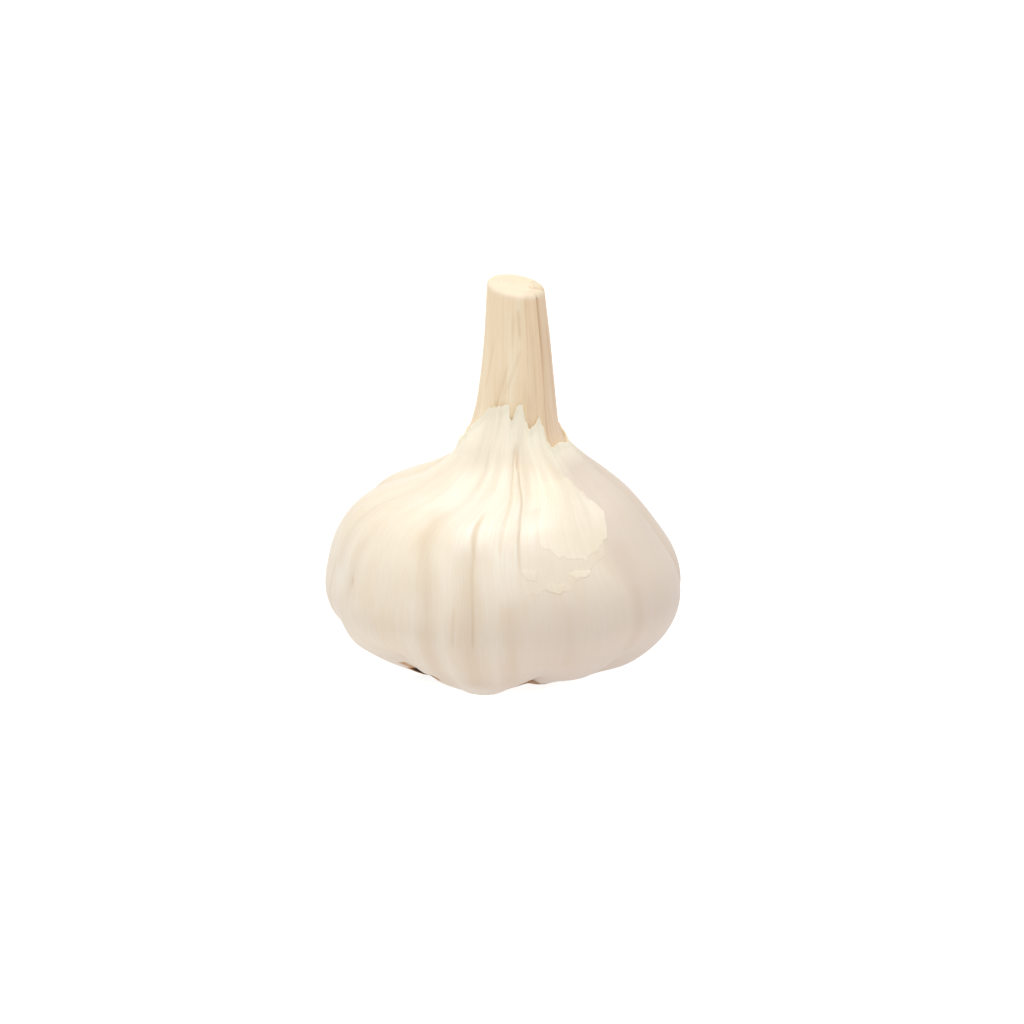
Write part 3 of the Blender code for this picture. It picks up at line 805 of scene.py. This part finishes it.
layers = [
    torn_skin(
        FRONT_UNDER_EDGE, FRONT_UNDER_TOP, 31, away=-0.02, thickness=0.05, bare=0.1, worn=0.3, sink_side=26.0
    ),
    torn_skin(FRONT_OVER_EDGE, FRONT_OVER_TOP, 32, away=-0.01, thickness=0.07, bare=0.1),
]
for seed, (worn, flake_foot, flake_top) in enumerate(FLAKES, 40):
    layers.append(
        torn_skin(flake_foot, flake_top, seed, away=0.0, thickness=0.06, worn=worn, rows=FLAKE_ROWS)
    )
front_skin = add_sheets("front_torn_skin", layers, outer_paper)
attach(front_skin, "root")
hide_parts("torn_skin_front")

REAR_EDGE = (
    (148.5, 9.3), (151, 9), (157.5, 8.85), (159, 9.15), (166.5, 9.05), (170, 8.7), (175.5, 8.5),
    (184.5, 8.72), (186, 8.35), (193.5, 8.25), (198, 8.6), (202.5, 8.5), (206, 8.95), (211.5, 9.1),
    (216, 9.3),
)
REAR_TOP = ((148.5, 13.7), (216, 13.7))
rear_sheet = torn_skin(REAR_EDGE, REAR_TOP, 51, away=0.06, thickness=0.10, curl=0.15)
rear_skin = add_sheets("rear_torn_skin", [rear_sheet], outer_paper)
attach(rear_skin, "root")
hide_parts("torn_skin_rear")

# The neck.
# The bulb's dried leaf sheaths, pressed tightly together, tan and fibrous, and cut across with a knife. Each
# meets the next one at a seam; the cut shows their pale inside round a paler core.
CUT_HEIGHT = 65.2  # mm, in the middle of the neck
CUT_RISE_RIGHT = -0.14  # mm that the cut rises for each mm to the right
CUT_RISE_BACK = 0.18
NECK_RADIUS = 4.6
CORE_RADIUS = 2.9
NECK_FOOT = 38.6  # mm of height, hidden in the head
SHEATH_TUCK = 0.32  # mm that a sheath lies inside the wrapper's face where the hem covers it
TUCK_LENGTH = 5.0  # mm above the hem over which it comes out again
SHEATHS = {  # from and to angle, how far it stands in, and how deep the seams at both its edges are
    "neck_sheath_left": (-100, 17, 0, 0.10, 0.04),
    "neck_sheath_middle": (17, 47, 0.06, 0.04, 0.16),
    "neck_sheath_right": (47, 130, 0.02, 0.16, 0.12),
    "neck_sheath_rear": (130, 260, 0, 0.12, 0.10),
}
SEAM_WIDTH = 0.30
DEEPEST_SEAM = 0.16  # mm, a seam this deep is painted fully dark with shade
SEAM_FOOT = 49.0  # mm of height, from which the seams between the sheaths open
SEAM_LENGTH = 9.0
SEAM_LEAST = 0.4  # how open they are below
SHEATH_COLUMN_DEG = 1.5
SHEATH_SIDE_ROWS = 84
SHEATH_CUT_ROWS = 8
CUT_ROUND = 0.75  # mm that the cut edge is rounded
CUT_TURNS = np.radians((25, 50, 75, 90))
CUT_FADE = 0.5  # mm over which the side's colour turns into the cut's
CUT_DROP = 0.05  # mm that the sheaths' cut faces lie below the knife's plane
CUT_RIPPLE, CUT_RIPPLE_WAYS, CUT_RIPPLE_START = 0.02, 9.5, 1.0
SHEATH_DEPTH = 0.8  # mm that a sheath's inside stays below its cut face
SPLIT_ANGLE = 88.0  # degrees, the way a split in the cut end runs
SPLIT_DEPTH = 0.4
SPLIT_WIDTH = 0.5
SPLIT_FROM = 1.9  # mm from the neck's middle
SPLIT_FADE = 0.8  # mm
SPLIT_SHADE = 0.9
HOLLOW_SHADE = 0.2  # how much of a hollow's painted shade runs on over the cut
NECK_STREAKS = (  # narrow hollows: angle and height at the foot, angle and height at the top, depth
    (5.5, 56.6, 3.5, 62.4, 0.10),
    (-9, 54.5, -5, 61.5, 0.05),
    (-38, 44, -12, 54, 0.07),
    (-60, 47, -40, 58, 0.05),
    (-20, 47.5, 8, 56, 0.05),
    (30, 46, 31, 60, 0.05),
    (75, 42, 68, 60, 0.10),
    (160, 44, 168, 58, 0.10),
    (205, 43, 196, 62, 0.10),
    (232, 42, 240, 55, 0.08),
)
STREAK_WIDTH = 0.30
DEEPEST_STREAK = 0.14
STREAK_ENDS = 4  # a streak fades out over this part of its length at both ends
SHEATH_ROUGHNESS = 0.6
STREAK_SHARE = 0.18  # how much of the streak colour the fibres' lines take, and how much painted shade the hollows take
HOLLOW_SHADE_SHARE = 0.55
WARM_GAIN, WARM_FROM = 2.4, -0.7  # turn the broad streaks into the warm fibres' share
CUT_ROUGH = 0.3  # how rough the cut is beside the fibres


def fibrous(name, pale, warm, streak_and_shade_colour, cut_colour, cut_shade):
    """A dried leaf sheath: long fibres in two tans, dark streaks between them, painted shade in its hollows and
    split, and a pale layered cut end.
    """
    made, tree, surface = new_material(name)
    grain = value_of(tree, "grain", "Vector")
    broad = use_group(tree, veins, Grain=grain, Round=3.0, Along=0.06, Thin=0.08)
    fine = use_group(tree, veins, Grain=grain, Round=16.0, Along=0.05, Thin=0.10)
    cloud = use_group(tree, patches, Scale=160.0)
    share = maths(tree, "MULTIPLY_ADD", broad.outputs["Streaks"], WARM_GAIN, WARM_FROM, clamp=True)
    colour = blend_colours(tree, share, pale, warm)
    streak = maths(tree, "MULTIPLY", fine.outputs["Lines"], STREAK_SHARE)
    colour = blend_colours(tree, streak, colour, streak_and_shade_colour)
    cut = value_of(tree, "cut")
    end = blend_colours(tree, cloud.outputs["Patches"], cut_colour, cut_shade)
    colour = blend_colours(tree, cut, colour, end)
    # Painted shade in the seams, hollows and split.
    painted_hollow_shade = maths(tree, "MULTIPLY", value_of(tree, "folds"), HOLLOW_SHADE_SHARE)
    colour = blend_colours(tree, painted_hollow_shade, colour, streak_and_shade_colour)
    tree.links.new(colour, surface.inputs["Base Color"])
    least = SHEATH_ROUGHNESS - ROUGH_SWING / 2
    dull = maths(tree, "MULTIPLY_ADD", fine.outputs["Streaks"], ROUGH_SWING, least)
    tree.links.new(dull, surface.inputs["Roughness"])
    ridge = maths(tree, "MULTIPLY", fine.outputs["Streaks"], maths(tree, "SUBTRACT", 1.0, cut))
    rough_end = maths(tree, "MULTIPLY", cloud.outputs["Patches"], maths(tree, "MULTIPLY", cut, CUT_ROUGH))
    height = maths(tree, "ADD", ridge, rough_end)
    add_bump(tree, surface, height, strength=0.2, metres=0.0004)
    surface.inputs["Specular IOR Level"].default_value = 0.4
    return made


SHEATH_COLOURS = {  # pale and warm fibres, the streaks between them and the painted shade in their hollows, the cut and its shaded patches
    "tan_sheath": ((254, 239, 212), (250, 229, 195), (212, 186, 146), (249, 231, 208), (238, 222, 194)),
    "warm_sheath": ((250, 230, 200), (243, 217, 181), (204, 172, 130), (244, 226, 202), (230, 214, 186)),
    # The right sheath's cut is darker: partly its own pinker tone, partly painted shade by the split.
    "pink_sheath": ((245, 223, 196), (238, 213, 182), (204, 170, 134), (238, 223, 199), (226, 211, 183)),
}
tan_sheath, warm_sheath, pink_sheath = (
    fibrous(name, *(srgb(*colour) for colour in colours)) for name, colours in SHEATH_COLOURS.items()
)


def cut_height(degrees, radius):
    """Height of the slanted plane that the knife cut."""
    angle = np.radians(degrees)
    return CUT_HEIGHT + radius * (CUT_RISE_RIGHT * np.sin(angle) - CUT_RISE_BACK * np.cos(angle))


def split_at(degrees, radius):
    """How deep in the cut end's split a point lies, from 0 to 1."""
    off = np.radians(degrees - SPLIT_ANGLE)
    here = (np.cos(off) > 0) * smooth_step((radius - SPLIT_FROM) / SPLIT_FADE)
    return here * np.exp(-((radius * np.sin(off) / SPLIT_WIDTH) ** 2))


def neck_middle(height):
    return outline_at(station_at_height(height))[1]


HEM_NEARBY = (-5, 0, 5)  # degrees to both sides at which the hem is looked at, to stay clear of it
BURIED = 0.6  # mm deeper that a sheath lies well below the hem
BURIED_FROM, BURIED_LENGTH = 2.2, 3.0  # mm below the hem
NECK_FOLDS = (61, (5, 16), 0.10, 0.035)  # seed, how many go round, how far they lean, height in mm
NECK_FIBRES = (62, (20, 60), 0.06, 0.016)


def neck_face(degrees, height, start, end, inset, start_seam, end_seam):
    """The radius of a sheath's outer face, and the shade painted on each point, darker the deeper it lies in a
    hollow.
    """
    station = station_at_height(height)
    smooth = head_surface(degrees, station)
    radius = np.hypot(smooth[..., 0] - neck_middle(height), smooth[..., 1])
    hem_nearby = np.max([hem_height(degrees + off) for off in HEM_NEARBY], axis=0)
    under = smooth_step(1 - (height - hem_nearby) / TUCK_LENGTH)
    deep = BURIED * smooth_step((hem_nearby - height - BURIED_FROM) / BURIED_LENGTH)
    radius += (relief(degrees, station)[0] - SHEATH_TUCK) * under - inset - deep
    radius += waves(degrees, height, *NECK_FOLDS) * (1 - under)
    radius += waves(degrees, height, *NECK_FIBRES)
    painted_hollow_shade = 0 * radius
    open_above = SEAM_LEAST + (1 - SEAM_LEAST) * smooth_step((height - SEAM_FOOT) / SEAM_LENGTH)
    for side, depth in ((degrees - start, start_seam), (end - degrees, end_seam)):
        seam = np.exp(-((np.radians(side) * radius / SEAM_WIDTH) ** 2)) * open_above
        radius -= depth * seam
        painted_hollow_shade = np.maximum(painted_hollow_shade, seam * depth / DEEPEST_SEAM)
    for foot_angle, foot_height, top_angle, top_height, depth in NECK_STREAKS:
        share = (height - foot_height) / (top_height - foot_height)
        off = (degrees - foot_angle - (top_angle - foot_angle) * share + 180) % 360 - 180
        here = smooth_step(share * STREAK_ENDS) * smooth_step((1 - share) * STREAK_ENDS)
        streak = here * np.exp(-((np.radians(off) * radius / STREAK_WIDTH) ** 2))
        radius -= depth * streak
        painted_hollow_shade = np.maximum(painted_hollow_shade, streak * depth / DEEPEST_STREAK)
    return radius, painted_hollow_shade


def neck_points(degrees, height, radius):
    angle = np.radians(degrees)
    right = neck_middle(height) + radius * np.sin(angle)
    return np.stack(np.broadcast_arrays(right, -radius * np.cos(angle), height), -1)


SHEATH_PAPERS = {"neck_sheath_middle": warm_sheath, "neck_sheath_right": pink_sheath}
for name, (start, end, *set_back) in SHEATHS.items():
    columns = int(round((end - start) / SHEATH_COLUMN_DEG)) + 1
    degrees = np.linspace(start, end, columns)
    top = cut_height(degrees, NECK_RADIUS) - CUT_ROUND
    share = np.linspace(0, 1, SHEATH_SIDE_ROWS)[:, None]
    height = NECK_FOOT + (top - NECK_FOOT) * share
    radius, painted_hollow_shade = neck_face(degrees, height, start, end, *set_back)
    outer = [neck_points(degrees, height, radius)]
    inner = [neck_points(degrees, height, CORE_RADIUS)]
    cut = [smooth_step((height - top) / CUT_FADE + 0.5)]
    folds = [painted_hollow_shade]
    edge = radius[-1]
    steps = [(edge - CUT_ROUND * (1 - np.cos(turn)), CUT_ROUND * (1 - np.sin(turn))) for turn in CUT_TURNS]
    for across in np.linspace(0, 1, SHEATH_CUT_ROWS)[1:]:
        ripple = CUT_RIPPLE * np.sin(across * CUT_RIPPLE_WAYS + CUT_RIPPLE_START)
        steps.append((edge - CUT_ROUND + (CORE_RADIUS - edge + CUT_ROUND) * across, ripple + CUT_DROP))
    for step_radius, below in steps:
        split = split_at(degrees, step_radius)
        step_height = cut_height(degrees, step_radius) - below - SPLIT_DEPTH * split
        outer.append(neck_points(degrees, step_height, step_radius)[None])
        inner.append(neck_points(degrees, step_height - SHEATH_DEPTH, CORE_RADIUS)[None])
        cut.append(np.ones((1, columns)))
        folds.append(np.maximum(painted_hollow_shade[-1:] * HOLLOW_SHADE, split[None] * SPLIT_SHADE))
    outer = np.concatenate(outer)
    inner = np.concatenate(inner)
    cut = np.concatenate(cut)
    folds = np.concatenate(folds)
    rows = len(outer)
    every_degree = np.broadcast_to(degrees, (rows, columns))
    grain = grain_of(every_degree, outer[..., 2])
    sheath = add_piece(
        name + "_dried",
        np.concatenate([outer.reshape(-1, 3), inner.reshape(-1, 3)]),
        sheet_faces(rows, columns),
        SHEATH_PAPERS.get(name, tan_sheath),
        {"grain": np.tile(grain, (2, 1)), "cut": np.tile(cut.ravel(), 2), "folds": np.tile(folds.ravel(), 2)},
    )
    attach(sheath, "root")
    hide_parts(name)

CORE_COLUMNS = 96
CORE_SIDE_ROWS = 12
CORE_SIDE_TOP = 62.0
CORE_CUT_ROWS = 26
CORE_MIDDLE = 0.06  # share of the radius at which the cut's last ring lies
CORE_LAYERS = 4  # thin inner leaves, rolled up, that show as rings on the cut
CORE_RIPPLE = 0.03
CORE_SWAY, CORE_SWAY_START = 0.6, 1  # how far the rings are off the middle, and which way
CORE_DROP = 0.08
degrees = 360 / CORE_COLUMNS * np.arange(CORE_COLUMNS)
side_heights = np.linspace(NECK_FOOT, CORE_SIDE_TOP, CORE_SIDE_ROWS)
rings = [neck_points(degrees, height, CORE_RADIUS) for height in side_heights]
folds = [np.zeros(CORE_COLUMNS) for _ in rings]
for share in np.linspace(1, CORE_MIDDLE, CORE_CUT_ROWS):
    radius = CORE_RADIUS * share
    split = split_at(degrees, radius)
    sway = CORE_SWAY * np.sin(np.radians(degrees) + CORE_SWAY_START)
    ripple = CORE_RIPPLE * np.cos(share * CORE_LAYERS * 2 * np.pi + sway)
    height = cut_height(degrees, radius) - CORE_DROP + ripple - SPLIT_DEPTH * split
    rings.append(neck_points(degrees, height, radius))
    folds.append(split * SPLIT_SHADE)
rings = np.array(rings)
core_points = np.concatenate([rings.reshape(-1, 3), [rings[0].mean(0), rings[-1].mean(0)]])
core = add_piece(
    "neck_core_dried",
    core_points,
    capped_faces(len(rings), CORE_COLUMNS),
    tan_sheath,
    {
        "grain": grain_of(np.concatenate([np.tile(degrees, len(rings)), [0, 0]]), core_points[:, 2]),
        "cut": np.ones(len(core_points)),
        "folds": np.concatenate([*folds, [0, 0]]),
    },
)
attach(core, "root")
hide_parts("neck_core")

# The root plate.
# The corky disc at the bottom that the cloves grow from, dark brown and rough, with the wiry stubs of its
# trimmed roots. It sits in the hollow between the cloves' feet, and soil stains the skin round it.
PLATE_PROFILE = (  # radius and height
    (0.6, 1.05), (2.5, 1.1), (4.4, 1.15), (6, 1.25), (7.2, 1.5), (7.9, 2), (8, 2.6), (7.4, 3.3),
)
PLATE_COLUMNS = 140
PLATE_ROWS = 60
PLATE_LUMPS = (71, (3, 30), 0.5, 0.11)  # seed, how many go round, how far they lean, height in mm
LUMP_TURNS = 8  # how much faster they lean than the wrapper's folds do
LUMPS_GROW = 2  # mm from the middle over which they grow
PLATE_LOBES = (72, (3, 18), 0, 0.7)
LOBE_SHARE = 0.03  # of the radius
ROOTS = 84
ROOT_SEED = 77
ROOT_RINGS = 9
ROOT_CORNERS = 7
ROOT_TURN = 0.618  # of a full turn from one root to the next
ROOT_PLACES = (4.6, 7.8)  # mm from the middle
SIDE_ROOTS_FROM = 7  # mm from the middle, from where roots grow out of the plate's side
ROOT_FOOT, SIDE_ROOT_FOOT = 1.35, 1.9  # mm of height
ROOT_LENGTHS = (1.4, 3.0)
ROOT_HALF_WIDTHS = (0.2, 0.42)
ROOT_TAPER = 0.55
ROOT_TIP = 0.3  # of its width
ROOT_OUTWARD, ROOT_LEAN, ROOT_FALL = (0.5, 1.0), 0.7, 0.45  # which way a root sets out
ROOT_BEND = 0.5
LOWEST_ROOT = 0.55  # mm of height
PIT_SHARE = 0.5  # how much of their own colour the pits in the cork take
root_cork, tree, surface = new_material("root_cork")
cloud = use_group(tree, patches, Scale=420.0)
coarse = use_group(tree, patches, Scale=1500.0)
colour = blend_colours(tree, cloud.outputs["Patches"], srgb(78, 50, 32), srgb(140, 104, 70))
pits = maths(tree, "MULTIPLY", coarse.outputs["Patches"], PIT_SHARE)
colour = blend_colours(tree, pits, colour, srgb(46, 30, 22))
tree.links.new(colour, surface.inputs["Base Color"])
add_bump(tree, surface, coarse.outputs["Patches"], strength=0.7, metres=0.0004)
surface.inputs["Roughness"].default_value = 0.9
surface.inputs["Specular IOR Level"].default_value = 0.2

profile = np.array(PLATE_PROFILE)
along = np.concatenate([[0], np.cumsum(np.hypot(*np.diff(profile, axis=0).T))])
where = np.linspace(0, along[-1], PLATE_ROWS)[:, None]
degrees = 360 / PLATE_COLUMNS * np.arange(PLATE_COLUMNS)
radius = np.interp(where, along, profile[:, 0])
height = np.interp(where, along, profile[:, 1])
lumps = waves(degrees, where * LUMP_TURNS, *PLATE_LUMPS)
radius = radius * (1 + LOBE_SHARE * waves(degrees, 0, *PLATE_LOBES))
height = height + lumps * smooth_step(where / LUMPS_GROW)
angle = np.radians(degrees)
rings = np.stack([radius * np.sin(angle), -radius * np.cos(angle), height], -1)
faces = capped_faces(PLATE_ROWS, PLATE_COLUMNS)
points = [*rings.reshape(-1, 3), rings[0].mean(0), rings[-1].mean(0)]
chance = np.random.default_rng(ROOT_SEED)
turns = 2 * np.pi * np.arange(ROOT_CORNERS) / ROOT_CORNERS
for k in range(ROOTS):
    angle = 2 * np.pi * (k * ROOT_TURN % 1)
    reach = chance.uniform(*ROOT_PLACES)
    out = np.array((np.sin(angle), -np.cos(angle), 0))
    side = np.array((np.cos(angle), np.sin(angle), 0))
    middle = out * reach + np.array((0, 0, SIDE_ROOT_FOOT if reach > SIDE_ROOTS_FROM else ROOT_FOOT))
    way = out * chance.uniform(*ROOT_OUTWARD) + side * chance.uniform(-ROOT_LEAN, ROOT_LEAN)
    way -= np.array((0, 0, ROOT_FALL))
    bend = side * chance.uniform(-ROOT_BEND, ROOT_BEND) + np.array((0, 0, chance.uniform(0, ROOT_BEND)))
    length = chance.uniform(*ROOT_LENGTHS)
    thick = chance.uniform(*ROOT_HALF_WIDTHS)
    first = len(points)
    for ring in range(ROOT_RINGS):
        share = ring / (ROOT_RINGS - 1)
        heading = way + bend * share
        heading /= np.linalg.norm(heading)
        sideways = np.cross(heading, (0, 0, 1))
        sideways /= np.linalg.norm(sideways)
        upwards = np.cross(sideways, heading)
        size = thick * (1 - ROOT_TAPER * share) * (ROOT_TIP if ring == ROOT_RINGS - 1 else 1)
        around = np.outer(np.cos(turns), sideways) - np.outer(np.sin(turns), upwards)
        points += list(middle + around * size)
        middle = middle + heading * length / ROOT_RINGS
        middle[2] = max(middle[2], LOWEST_ROOT)
    faces += (grid_faces(ROOT_RINGS, ROOT_CORNERS) + first).tolist()
    faces.append([first + corner for corner in range(ROOT_CORNERS)][::-1])
    last = first + (ROOT_RINGS - 1) * ROOT_CORNERS
    faces.append([last + corner for corner in range(ROOT_CORNERS)])
plate = add_piece("root_plate_corky", points, faces, root_cork)
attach(plate, "root")
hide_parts("root_plate")
